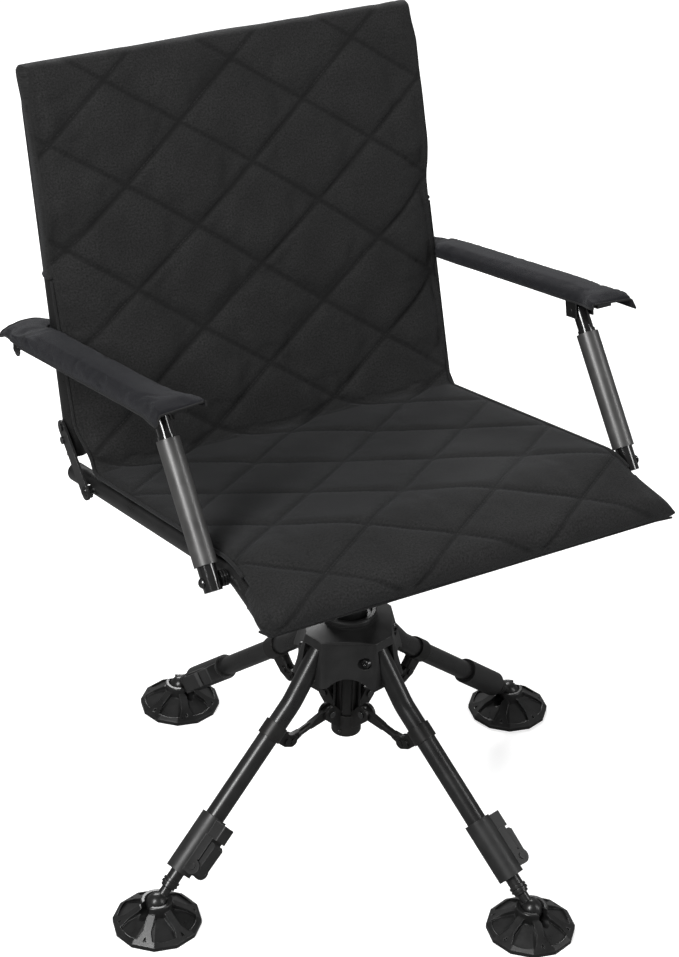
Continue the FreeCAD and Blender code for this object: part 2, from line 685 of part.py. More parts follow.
def leg_local(shape, distance):
    """Moves a shape whose X runs down the leg to its place on the leg."""
    along = leg_direction()
    turned = FreeCAD.Rotation(V(0, 1, 0), math.degrees(math.atan2(-along.z, along.x)))
    moved = shape.copy()
    moved.Placement = FreeCAD.Placement(down_leg(distance), turned)
    return moved


def leg_tube():
    upward = (radial(LEG_PIVOT) - radial(LEG_BEND)).normalize()
    top = radial(LEG_PIVOT) + upward * 9
    tube = bent_tube([top, radial(LEG_BEND), down_leg(LEG_END)], [LEG_BEND_R], LEG_R, LEG_WALL)
    hole = rod(radial(LEG_PIVOT, -20), radial(LEG_PIVOT, 20), LEG_PIN_R + RUN)
    return tube.cut(hole)


def bracket_foot():
    """How far down the leg the strut bracket sits."""
    return (radial(BRACKET_BOLT) - radial(LEG_BEND)).dot(leg_direction())


def strut_bracket():
    """A band on the leg, two cheeks for the strut, the pin and the bolt."""
    half = STRUT_T / 2 + 0.2
    thick = 2.4
    middle = down_leg(bracket_foot())
    along = leg_direction()
    band = pipe(middle - along * 9, middle + along * 9, LEG_R + 2.2, LEG_R + 0.05)
    tube_hole = rod(middle - along * 40, middle + along * 40, LEG_R + 0.05)
    root = (middle.x, middle.z)
    pieces = [band]
    for side in (half, -half - thick):
        near = link(LEG_PIN, BRACKET_BOLT, 7.0, 7.0, side, side + thick, "y")
        far = link(BRACKET_BOLT, root, 7.0, 9.0, side, side + thick, "y")
        pieces.append(joined([near, far]).cut(tube_hole))
    reach = half + thick
    bolts = []
    holes = []
    for spot in (LEG_PIN, BRACKET_BOLT):
        shank = rod(radial(spot, -reach), radial(spot, reach), PIN_R)
        heads = [rod(radial(spot, side * reach), radial(spot, side * (reach + 2)), 4.4)
                 for side in (-1, 1)]
        bolts.append(joined([shank] + heads))
        holes.append(rod(radial(spot, -20), radial(spot, 20), PIN_R + RUN))
    return [joined(pieces).cut(holes)] + bolts


def strut():
    start, end = radial(COLLAR_PIN), radial(LEG_PIN)
    along = (end - start).normalize()
    near = start + along * 28
    far = end - along * 13
    half = STRUT_T / 2
    inner = link(COLLAR_PIN, (near.x, near.z), STRUT_EYE_R, STRUT_R, -half, half, "y")
    outer = link((far.x, far.z), LEG_PIN, STRUT_R, STRUT_EYE_R, -half, half, "y")
    middle = rod(near - along * 2, far + along * 2, STRUT_R)
    holes = [rod(radial(spot, -9), radial(spot, 9), PIN_R + RUN) for spot in (COLLAR_PIN, LEG_PIN)]
    return joined([inner, outer, middle]).cut(holes)


def across_leg(low, high, radius):
    """A rod along the lever's pivot line."""
    px, py = LEVER_PIVOT
    return rod(V(px, py, low), V(px, py, high), radius)


def clamp_body():
    """The sleeve on the tube's end, with its lever housing and lever pin."""
    sleeve = rod(V(-CLAMP_LONG, 0, 0), V(0, 0, 0), CLAMP_R)
    catch = block((-CLAMP_LONG + 2, -50), (6, 27), (-EAR_OUT + 1, EAR_OUT - 1))
    bridge = block((-51, -23), (6, 21.5), (-EAR_OUT, EAR_OUT))
    ears = []
    for low, high in ((-EAR_OUT, -EAR_IN), (EAR_IN, EAR_OUT)):
        ears.append(across_leg(low, high, LEVER_CAM_R + 0.5))
        ears.append(block((-24, -5), (6, LEVER_PIVOT[1]), (low, high)))
    upright = [edge for edge in catch.Edges if edge.CenterOfMass.y > 26]
    body = joined([sleeve, catch.makeFillet(2.0, upright), bridge] + ears)
    split = CLAMP_END - LEG_END
    tools = [rod(V(-CLAMP_LONG - 1, 0, 0), V(-split, 0, 0), LEG_R + RUN)]
    tools.append(rod(V(-CLAMP_LONG - 1, 0, 0), V(1, 0, 0), EXTENSION_R + RUN))
    tools.append(across_leg(-EAR_IN, EAR_IN, LEVER_CAM_R + 0.6))
    tools.append(across_leg(-EAR_OUT - 1, EAR_OUT + 1, PIN_R + RUN))
    pin = joined([across_leg(-EAR_OUT - 0.7, EAR_OUT + 0.7, PIN_R),
                  across_leg(EAR_OUT + 0.1, EAR_OUT + 1.5, PIN_R + 1.3)])
    return [leg_local(body.cut(tools), CLAMP_END), leg_local(pin, CLAMP_END)]


def clamp_lever():
    """An over-centre lever: a cam on the pin and a long finger plate."""
    px, py = LEVER_PIVOT
    plate = [(-47, 22), (px, 22), (px, py + LEVER_CAM_R), (-44, 29), (-47, 26)]
    finger = face_of([V(x, y, -LEVER_HALF) for x, y in plate]).extrude(V(0, 0, 2 * LEVER_HALF))
    for low, high in ((-EAR_OUT, -EAR_IN + 0.2), (EAR_IN - 0.2, EAR_OUT)):
        finger = finger.cut(across_leg(low, high, LEVER_CAM_R + 0.9))
    lever = joined([across_leg(-EAR_IN + 0.4, EAR_IN - 0.4, LEVER_CAM_R), finger])
    return leg_local(lever.cut(across_leg(-EAR_OUT, EAR_OUT, PIN_R + RUN)), CLAMP_END)


def leg_extension():
    """The inner tube and the ball stud pressed into its end."""
    tube = pipe(down_leg(EXTENSION_FROM), down_leg(EXTENSION_TO), EXTENSION_R,
                EXTENSION_R - EXTENSION_WALL)
    reach = (radial(BALL) - radial(LEG_BEND)).Length
    bore = EXTENSION_R - EXTENSION_WALL - RUN
    steps = [(-18, bore), (0, bore), (0, STUD_R), (3, STUD_R), (3, STUD_R - 1), (4, STUD_R - 1),
             (4, STUD_R), (7, STUD_R), (7, STUD_R - 1.4), (10, STUD_R - 1.4), (11, STUD_NECK_R)]
    outline = [V(EXTENSION_TO + x - reach, 0, radius) for x, radius in steps]
    outline += [V(0, 0, STUD_NECK_R), V(0, 0, 0), V(EXTENSION_TO - 18 - reach, 0, 0)]
    shank = face_of(outline).revolve(V(0, 0, 0), V(1, 0, 0), 360)
    stud = joined([shank, Part.makeSphere(BALL_R)])
    return [tube, leg_local(stud, reach)]


# ---- foot, built round its ball ------------------------------------------
def frustum(low_r, high_r, low, high):
    """A many-sided frustum whose corners sit on the given radii."""
    wires = []
    for radius, z in ((low_r, low), (high_r, high)):
        corners = []
        for index in range(FOOT_SIDES):
            angle = 2 * math.pi * (index + 0.5) / FOOT_SIDES
            corners.append(V(radius * math.cos(angle), radius * math.sin(angle), z))
        wires.append(Part.makePolygon(corners + [corners[0]]))
    return Part.makeLoft(wires, True, True)


def rib(start, end, width):
    """An upright wall between two (x, y) points."""
    start, end = V(*start, -40), V(*end, -40)
    side = (end - start).normalize().cross(V(0, 0, 1)) * (width / 2)
    return face_of([start + side, end + side, end - side, start - side]).extrude(V(0, 0, 60))


def foot_pad():
    """A ribbed cone of a foot with a slotted socket for the ball."""
    ground = -BALL[1]
    shell = joined([frustum(FOOT_R, FOOT_R, ground, ground + 4.0),
                    frustum(FOOT_R - 1.5, 19.0, ground + 4.0, ground + 19.0)])
    raised = joined([frustum(FOOT_R, FOOT_R, ground, ground + 5.0),
                     frustum(FOOT_R, 19.0, ground + 5.0, ground + 25.0)])
    walls = []
    for index in range(6):
        turn = math.radians(60 * index + 30)

        def spot(radius, spread=0.0):
            return (radius * math.cos(turn + spread), radius * math.sin(turn + spread))

        walls.append(rib(spot(12), spot(34), 9.0))
        walls.append(rib(spot(31), spot(56, 0.20), 6.5))
        walls.append(rib(spot(31), spot(56, -0.20), 6.5))
    ribs = raised.common(joined(walls))
    rim = raised.cut(rod(V(0, 0, ground - 1), V(0, 0, 20), FOOT_R - 6.0))
    socket = rod(V(0, 0, ground + 6), V(0, 0, 5.5), SOCKET_R)
    top_edge = [edge for edge in socket.Edges if edge.CenterOfMass.z > 5]
    socket = socket.makeFillet(1.5, [top_edge[0]])
    pad = joined([shell, ribs, rim, socket])
    throat = block((-60, 60), (-SLOT_W / 2, SLOT_W / 2), (-5.0, 30))
    trough = rod(V(-60, 0, -5.0), V(60, 0, -5.0), SLOT_W / 2)
    mouth = Part.makeCone(BALL_R - 2.0, BALL_R + 4.0, 9.0, V(0, 0, 0.5))
    pad = pad.cut([Part.makeSphere(BALL_R + RUN), mouth, throat, trough])
    pad.translate(radial(BALL))
    return pad


# ---- write every sub-part ------------------------------------------------
def save_pair(name, shapes):
    """Writes the +X piece as the left one and its mirror as the right one."""
    save(name + "_l", *[tilted(shape) for shape in shapes])
    save(name + "_r", *[tilted(mirrored(shape)) for shape in shapes])


def save_tilted(name, shapes):
    save(name, *[tilted(shape) for shape in shapes])


save("hub_casting", hub_casting())
save("bearing_cap", bearing_cap())
save("spindle_bush", spindle_bush())
save("leg_hinge_pins", *[placed(leg_hinge_pin(), azimuth) for azimuth in LEG_AZIMUTHS])

save("spindle", spindle())
save_tilted("swivel_plate", [swivel_plate()])
save_tilted("plate_bolts", plate_bolts())
save_tilted("cross_rails", cross_rails())
save_tilted("seat_frame", [seat_frame()])
save_tilted("frame_spacers", frame_spacers())
save_tilted("hinge_bolts", hinge_bolts())
save_tilted("post_bolts", post_bolts())
save_tilted("seat_cushion", [seat_cushion()])

save_tilted("back_frame", [back_frame()])
save_tilted("hinge_plates", both_sides(hinge_plate()))
save_tilted("hinge_rivets", [side for spot in rivet_spots() + [bracket_rivet()]
                             for side in both_sides(rivet(spot))])
save_tilted("arm_brackets", both_sides(arm_bracket()))
save_tilted("arm_pivot_bolts", both_sides(arm_pivot_bolt()))
save_tilted("back_cushion", [back_cushion()])

save_pair("arm_bar", [arm_bar()])
save_pair("arm_clevis", arm_clevis())
save_pair("arm_pad", [arm_pad()])
save_pair("post_tube", [post_tube()])
save_pair("post_plugs", post_plugs())

save("centre_column", centre_column())
save("slide_collar", slide_collar())
save("collar_bolts", *collar_bolts())

LEG_PIECES = {
    "leg_tube": [leg_tube()],
    "strut_bracket": strut_bracket(),
    "strut": [strut()],
    "clamp_body": clamp_body(),
    "clamp_lever": [clamp_lever()],
    "leg_extension": leg_extension(),
    "foot_pad": [foot_pad()],
}
for number, azimuth in enumerate(LEG_AZIMUTHS, 1):
    for name, shapes in LEG_PIECES.items():
        save(name + "_" + str(number), *[placed(shape, azimuth) for shape in shapes])
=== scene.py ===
import json
import math

import bmesh
import bpy
import numpy as np
from mathutils import Euler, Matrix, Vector


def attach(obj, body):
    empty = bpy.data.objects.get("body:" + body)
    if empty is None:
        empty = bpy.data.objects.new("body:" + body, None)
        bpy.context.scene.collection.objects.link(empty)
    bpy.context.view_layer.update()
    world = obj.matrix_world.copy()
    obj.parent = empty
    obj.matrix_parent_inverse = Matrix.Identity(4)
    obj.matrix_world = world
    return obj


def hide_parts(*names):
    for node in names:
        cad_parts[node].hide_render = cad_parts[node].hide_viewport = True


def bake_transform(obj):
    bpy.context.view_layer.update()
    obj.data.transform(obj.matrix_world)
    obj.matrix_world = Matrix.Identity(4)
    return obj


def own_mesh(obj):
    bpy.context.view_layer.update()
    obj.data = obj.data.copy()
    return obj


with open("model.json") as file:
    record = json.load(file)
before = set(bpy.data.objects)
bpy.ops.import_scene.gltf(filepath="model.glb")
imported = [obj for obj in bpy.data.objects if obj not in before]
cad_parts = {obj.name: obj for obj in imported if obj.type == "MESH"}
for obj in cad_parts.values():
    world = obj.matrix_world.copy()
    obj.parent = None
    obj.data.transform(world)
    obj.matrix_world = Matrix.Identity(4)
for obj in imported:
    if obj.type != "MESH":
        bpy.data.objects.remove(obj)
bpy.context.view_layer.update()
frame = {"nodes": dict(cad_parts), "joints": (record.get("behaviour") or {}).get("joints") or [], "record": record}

# The cloth is drawn in the seat's own frame, in millimetres: x across, y
# back from the crease and z up from it, tipped with the seat.
MM = 0.001
SEAT_TILT = math.radians(12.0)
HINGE = (8.0, -16.0)          # the back's fold hinge in that frame, (y, z)
RAIL_Z = -13.0                # centre line of a seat rail
KNEE = 325.0                  # where the rail dips, forward of the crease
DIP = math.radians(25.0)
FRONT_TUBE = 70.6             # front tube's centre, measured down the dip
BACK_LEAN = 0.084

# ---- quilted cover -------------------------------------------------------
QUILT_X = 75.8                # one lattice step across the cloth
QUILT_HALF = 3                # lattice steps from the middle to the edge
STEP = 45.5                   # distance between neighbouring stitch lines
FINE = 18                     # mesh cells per lattice step
ROW_GAP = 3.6                 # between mesh rows beyond the lattice
EDGE_X = QUILT_X * QUILT_HALF
SEAT_ROWS = [27.0, 88.0, 149.0, 210.0, 270.0, 331.0, 376.0]
BACK_ROW, BACK_STEP = 23.0, 56.8
TOP_Z = 447.0                 # crest of the back, over its top tube
REAR_Y = 66.0
SEAT_TOP = 4.0                # the cover's face on the seat
NOSE_REACH = 13.5             # the sleeve's nose, ahead of, above and below the tube
NOSE_OVER = 16.0
NOSE_UNDER = 12.5
BEND_RADII = (12.0, 13.0, 80.0, 13.0, 13.0, 12.5)
HEM_Z = 218.0                 # the pocket is open below this
HEM_S = 350.0                 # the front sleeve is open behind this
SIDE_ROLL = 10.6              # how far the pocket bulges round the back tubes
HUG_X = 8.0                   # the panel's edges reach out and back to the tubes
HUG_Y = 14.0
HUG_ROLL = 6.4
FRONT_ROLL = {-1: (13.0, 7.0), 1: (25.0, -5.0)}   # its flat ends: how far out, how far up
ROLL_CELLS = 12
PUFF = 3.3                    # lift of the padding and half-width of a stitched groove
GROOVE = 4.2
BINDING_R = 2.1
PIPING_R = 1.3
PAD_DEEP = 13.0               # the cover's thickness where padded and where not
PAD_THIN = 2.6
QUILT_SWELL = (0.016, 4.0, 3.2)   # cloth simulation: slack, pressure, longest move
SEAT_LIFT = 0.3               # share of the simulated swelling kept on the sat-on part


def joint_place(name):
    """Where a joint of the frame turns, in metres."""
    found = next(joint for joint in frame["joints"] if joint["name"] == name)
    return found["pos_m"]


def tip(y, z):
    """A seat-frame direction turned into the chair's frame."""
    return (y * math.cos(SEAT_TILT) + z * math.sin(SEAT_TILT),
            z * math.cos(SEAT_TILT) - y * math.sin(SEAT_TILT))


_, HINGE_Y, HINGE_Z = joint_place("back_fold")
CREASE = (HINGE_Y - tip(*HINGE)[0] * MM, HINGE_Z - tip(*HINGE)[1] * MM)


def to_chair(points):
    """Seat-frame millimetres to metres in the chair's frame."""
    points = np.asarray(points, float)
    y, z = tip(points[..., 1], points[..., 2])
    return np.stack([points[..., 0] * MM, CREASE[0] + y * MM, CREASE[1] + z * MM], -1)


def on_dip(along, rise):
    """(y, z) of a point this far down the dip and above the tube's line."""
    forward = KNEE + along * math.cos(DIP) + rise * math.sin(DIP)
    return (-forward, RAIL_Z - along * math.sin(DIP) + rise * math.cos(DIP))


def rounded(corners, radii, step=1.5):
    """A line through the corners, each inner one rounded, as close points."""
    points = [np.array(corners[0], float)]

    def run_to(target):
        start = points[-1]
        count = max(1, int(np.linalg.norm(target - start) / step))
        points.extend(start + (target - start) * (i + 1) / count for i in range(count))

    for before, corner, after, radius in zip(corners, corners[1:], corners[2:], radii):
        corner = np.array(corner, float)
        back = (before - corner) / np.linalg.norm(before - corner)
        ahead = (after - corner) / np.linalg.norm(after - corner)
        half = math.acos(float(np.clip(back @ ahead, -1, 1))) / 2
        reach = radius / math.tan(half)
        centre = corner + (back + ahead) / np.linalg.norm(back + ahead) * radius / math.sin(half)
        run_to(corner + back * reach)
        first, last = points[-1] - centre, corner + ahead * reach - centre
        sweep = math.pi - 2 * half
        count = max(2, int(radius * sweep / step))
        for i in range(1, count + 1):
            share = i / count
            arm = (first * math.sin((1 - share) * sweep) + last * math.sin(share * sweep))
            points.append(centre + arm / math.sin(sweep))
    run_to(np.array(corners[-1], float))
    return np.array(points)


def ripple(points, size, seed=0.0):
    """A smooth, repeatable unevenness between about -1 and 1."""
    total = np.zeros(len(points))
    for turn, stretch in enumerate((1.0, 1.7, 2.9, 4.3)):
        angle = seed + 2.4 * turn
        way = np.array([math.cos(angle), math.sin(angle), 0.6 * math.sin(1.7 * angle)])
        across = np.array([-way[1], way[0], 0.5])
        phase = points @ way * stretch / size + seed * 3.1 + turn
        total += np.sin(phase + 1.3 * np.sin(points @ across * stretch / size)) / stretch
    return total / 1.9


def smooth_step(low, high, value):
    share = np.clip((value - low) / (high - low), 0, 1)
    return share * share * (3 - 2 * share)


# ---- meshes --------------------------------------------------------------
def make_mesh(name, points, faces, material):
    mesh = bpy.data.meshes.new(name)
    mesh.from_pydata([tuple(p) for p in points], [], [tuple(f) for f in faces])
    mesh.validate()
    mesh.update()
    mesh.polygons.foreach_set("use_smooth", [True] * len(mesh.polygons))
    piece = bpy.data.objects.new(name, mesh)
    bpy.context.scene.collection.objects.link(piece)
    if material is not None:
        mesh.materials.append(material)
    return piece


def add_values(piece, name, values):
    """Stores one number or one vector per point for the shader to read."""
    values = np.asarray(values, np.float32)
    if values.ndim == 1:
        piece.data.attributes.new(name, "FLOAT", "POINT").data.foreach_set("value", values)
    else:
        made = piece.data.attributes.new(name, "FLOAT_VECTOR", "POINT")
        made.data.foreach_set("vector", values.ravel())


def face_normals(points, faces):
    """Point normals of a mesh given as numpy points and faces."""
    total = np.zeros_like(points)
    for size in (3, 4):
        group = np.array([face for face in faces if len(face) == size], int)
        if not len(group):
            continue
        corners = points[group]
        normal = np.cross(corners[:, 2] - corners[:, 0], corners[:, -1] - corners[:, 1])
        for corner in range(size):
            np.add.at(total, group[:, corner], normal)
    return total / np.maximum(np.linalg.norm(total, axis=1, keepdims=True), 1e-9)


def thicken(outer, faces, inner):
    """Closes a sheet: a second layer of points, with walls at the open edges."""
    count = len(outer)
    back = [tuple(reversed([i + count for i in face])) for face in faces]
    used = dict.fromkeys((a, b) for face in faces for a, b in zip(face, face[1:] + face[:1]))
    walls = [(b, a, a + count, b + count) for a, b in used if (b, a) not in used]
    return np.vstack([outer, inner]), list(faces) + back + walls


def tube(path, radius, cells=8):
    """A closed tube with blunt ends along a line of points."""
    path = np.asarray(path, float)
    ahead = np.gradient(path, axis=0)
    ahead /= np.linalg.norm(ahead, axis=1, keepdims=True)
    up = np.array([1.0, 0.02, 0.05]) if abs(ahead[0][0]) < 0.7 else np.array([0.05, 0.02, 1.0])
    side = np.cross(ahead, up)
    side /= np.linalg.norm(side, axis=1, keepdims=True)
    other = np.cross(ahead, side)
    turns = 2 * np.pi * np.arange(cells) / cells
    rings = [path + radius * (math.cos(t) * side + math.sin(t) * other) for t in turns]
    points = np.stack(rings, 1).reshape(-1, 3)
    faces = []
    for ring in range(len(path) - 1):
        for cell in range(cells):
            a = ring * cells + cell
            b = ring * cells + (cell + 1) % cells
            faces.append((a, b, b + cells, a + cells))
    faces.append(tuple(range(cells - 1, -1, -1)))
    faces.append(tuple(range((len(path) - 1) * cells, len(path) * cells)))
    return points, faces


def merged(parts):
    """Several (points, faces) as one."""
    points, faces, base = [], [], 0
    for part_points, part_faces in parts:
        points.append(part_points)
        faces += [tuple(i + base for i in face) for face in part_faces]
        base += len(part_points)
    return np.vstack(points), faces


# ---- materials -----------------------------------------------------------
def node(tree, kind, sockets=None, **settings):
    """Adds a shader node; a socket takes a value or another node's output."""
    made = tree.nodes.new("ShaderNode" + kind)
    for key, value in settings.items():
        setattr(made, key, value)
    for key, value in (sockets or {}).items():
        if isinstance(value, bpy.types.NodeSocket):
            tree.links.new(value, made.inputs[key])
        else:
            made.inputs[key].default_value = value
    return made


def math_node(tree, operation, a, b=0.0, c=0.0):
    return node(tree, "Math", {0: a, 1: b, 2: c}, operation=operation).outputs[0]


def blank_material(name):
    material = bpy.data.materials.new(name)
    material.use_nodes = True
    material.node_tree.nodes.clear()
    tree = material.node_tree
    surface = node(tree, "BsdfPrincipled")
    node(tree, "OutputMaterial", {"Surface": surface.outputs[0]})
    return material, tree, surface


def ramp(tree, value, low, high, from_value=0.0, to_value=1.0):
    """A value remapped between two limits."""
    made = node(tree, "MapRange", {"Value": value, "From Min": low, "From Max": high,
                                   "To Min": from_value, "To Max": to_value})
    return made.outputs["Result"]


def mix_colour(tree, share, a, b):
    made = node(tree, "Mix", data_type="RGBA")
    for socket, value in (("Factor_Float", share), ("A_Color", a), ("B_Color", b)):
        target = next(s for s in made.inputs if s.identifier == socket)
        if isinstance(value, bpy.types.NodeSocket):
            tree.links.new(value, target)
        else:
            target.default_value = value
    return next(s for s in made.outputs if s.identifier == "Result_Color")


def grey(level, warm=0.0):
    return (level * (1 + warm), level, level * (1 - warm), 1.0)


def woven(name, dark, light, pitch, heather, fuzz, stitched=False):
    """Plain-woven cloth: crossing yarns, uneven dye, the quilting thread, and painted shade that darkens the cloth
    along the stitched grooves.
    """
    material, tree, surface = blank_material(name)
    place = node(tree, "Attribute", attribute_name="weave").outputs["Vector"]
    parts = node(tree, "SeparateXYZ", {0: place})
    warp = math_node(tree, "SINE", math_node(tree, "MULTIPLY", parts.outputs[0], 2 * math.pi / pitch))
    weft = math_node(tree, "SINE", math_node(tree, "MULTIPLY", parts.outputs[1], 2 * math.pi / pitch))
    yarn = math_node(tree, "MULTIPLY", warp, weft)
    yarn = ramp(tree, yarn, -1.0, 1.0)
    slub = node(tree, "TexNoise", {"Vector": place, "Scale": 1 / heather, "Detail": 3.0,
                                   "Roughness": 0.7}).outputs["Fac"]
    cloud = node(tree, "TexNoise", {"Vector": place, "Scale": 0.022, "Detail": 4.0}).outputs["Fac"]
    tone = math_node(tree, "MULTIPLY", ramp(tree, slub, 0.3, 0.72), ramp(tree, yarn, 0, 1, 0.45, 1.0))
    tone = math_node(tree, "MULTIPLY", tone, ramp(tree, cloud, 0.3, 0.7, 0.75, 1.1))
    colour = mix_colour(tree, tone, dark, light)
    height = math_node(tree, "ADD", yarn, math_node(tree, "MULTIPLY", slub, 1.2))
    if stitched:
        seam = node(tree, "Attribute", attribute_name="seam").outputs["Vector"]
        seam = node(tree, "SeparateXYZ", {0: seam})
        dash = math_node(tree, "PINGPONG", seam.outputs[2], 2.2)
        thread = math_node(tree, "MULTIPLY", ramp(tree, seam.outputs[0], 0.9, 0.5),
                           ramp(tree, dash, 0.5, 0.8))
        # Painted shade: the cloth is darkened towards each stitch line to stand in for the shadow inside the
        # stitched groove; the lighter thread below is the thread's own colour.
        shade = ramp(tree, seam.outputs[0], 0.6, 3.8, 1.0, 0.0)
        colour = mix_colour(tree, math_node(tree, "MULTIPLY", shade, 0.8), colour, grey(0.003))
        colour = mix_colour(tree, math_node(tree, "MULTIPLY", thread, 0.5), colour, grey(0.03))
        height = math_node(tree, "ADD", height, math_node(tree, "MULTIPLY", thread, 0.8))
    bump = node(tree, "Bump", {"Height": height, "Strength": 0.55, "Distance": 0.0005})
    rough = ramp(tree, slub, 0.3, 0.7, 0.78, 0.95)
    for key, value in (("Base Color", colour), ("Roughness", rough), ("Normal", bump.outputs[0])):
        tree.links.new(value, surface.inputs[key])
    surface.inputs["Specular IOR Level"].default_value = 0.25
    surface.inputs["Sheen Weight"].default_value = fuzz
    surface.inputs["Sheen Roughness"].default_value = 0.45
    surface.inputs["Sheen Tint"].default_value = (0.8, 0.82, 0.86, 1.0)
    return material


def finished(name, base, worn, rough, metal=0.0, grain=900.0, depth=0.00004, edge=0.0008, coat=0.0):
    """A hard finish: fine grain, faint smears, and edges that wear brighter."""
    material, tree, surface = blank_material(name)
    place = node(tree, "TexCoord").outputs["Object"]
    fine = node(tree, "TexNoise", {"Vector": place, "Scale": grain, "Detail": 2.0}).outputs["Fac"]
    smear = node(tree, "TexNoise", {"Vector": place, "Scale": 38.0, "Detail": 5.0,
                                    "Roughness": 0.62}).outputs["Fac"]
    soft = node(tree, "Bevel", {"Radius": edge}, samples=4)
    flat = node(tree, "NewGeometry").outputs["Normal"]
    facing = node(tree, "VectorMath", {0: soft.outputs[0], 1: flat}, operation="DOT_PRODUCT")
    wear = ramp(tree, facing.outputs["Value"], 0.995, 0.90)
    wear = math_node(tree, "MULTIPLY", wear, ramp(tree, smear, 0.35, 0.62, 0.35, 1.0))
    tone = mix_colour(tree, ramp(tree, smear, 0.3, 0.7, 0.0, 0.35), base, worn)
    tone = mix_colour(tree, wear, tone, worn)
    bump = node(tree, "Bump", {"Height": fine, "Strength": 0.5, "Distance": depth,
                               "Normal": soft.outputs[0]})
    shine = math_node(tree, "ADD", ramp(tree, smear, 0.3, 0.7, rough * 0.85, rough * 1.15),
                      ramp(tree, fine, 0.3, 0.7, -0.03, 0.03))
    for key, value in (("Base Color", tone), ("Roughness", shine), ("Normal", bump.outputs[0])):
        tree.links.new(value, surface.inputs[key])
    surface.inputs["Metallic"].default_value = metal
    surface.inputs["Coat Weight"].default_value = coat
    surface.inputs["Coat Roughness"].default_value = 0.12
    return material


MATERIALS = {
    "black_tube": finished("black_tube", grey(0.008), grey(0.028), 0.31, depth=0.00001),
    "grey_plate": finished("grey_plate", grey(0.020), grey(0.07), 0.40, metal=0.4),
    "grey_sleeve": finished("grey_sleeve", grey(0.085, 0.01), grey(0.16, 0.01), 0.38, metal=0.6),
    "gloss_black": finished("gloss_black", grey(0.005), grey(0.02), 0.12, coat=0.8),
    "hub_paint": finished("hub_paint", grey(0.012), grey(0.045), 0.42, metal=0.1, edge=0.0014),
    "linkage": finished("linkage", grey(0.010, 0.03), grey(0.045, 0.03), 0.40, metal=0.4),
    "clamp_plastic": finished("clamp_plastic", grey(0.010), grey(0.035), 0.46, edge=0.0010),
    "foot_rubber": finished("foot_rubber", grey(0.006), grey(0.03), 0.33, grain=500.0,
                            edge=0.0012, coat=0.12),
    "dark_bolt": finished("dark_bolt", grey(0.04), grey(0.30), 0.20, metal=0.9, edge=0.0006),
    "quilted_cloth": woven("quilted_cloth", grey(0.0025), grey(0.038), 1.3, 2.0, 0.05, stitched=True),
    "arm_cloth": woven("arm_cloth", (0.004, 0.004, 0.0055, 1), (0.017, 0.017, 0.021, 1), 0.9, 2.0,
                       0.06, stitched=True),
    "binding": woven("binding", grey(0.006), grey(0.028), 0.8, 1.6, 0.06),
}


def dress_frame():
    """Gives every carried-over CAD node its slot's material."""
    for part in frame["record"]["subparts"]:
        mesh = frame["nodes"][part["node"]].data
        mesh.materials.clear()
        mesh.materials.append(MATERIALS[part["material_slot"]])


# ---- the cover's outline and grid ----------------------------------------
def cover_outline():
    """Side view of the cover's outer face, from front hem to rear hem."""
    nose = FRONT_TUBE + NOSE_REACH
    under = (HEM_S - KNEE + 14 * math.sin(DIP)) / math.cos(DIP)
    knee = (-KNEE - (SEAT_TOP - RAIL_Z) * math.tan(DIP / 2), SEAT_TOP)
    corners = [on_dip(under, -NOSE_UNDER), on_dip(nose, -NOSE_UNDER), on_dip(nose, NOSE_OVER), knee,
               (SEAT_TOP * BACK_LEAN, SEAT_TOP), (TOP_Z * BACK_LEAN, TOP_Z), (REAR_Y, TOP_Z),
               (REAR_Y, HEM_Z)]
    path = rounded(corners, BEND_RADII)
    length = np.concatenate([[0], np.cumsum(np.linalg.norm(np.diff(path, axis=0), axis=1))])
    return path, length


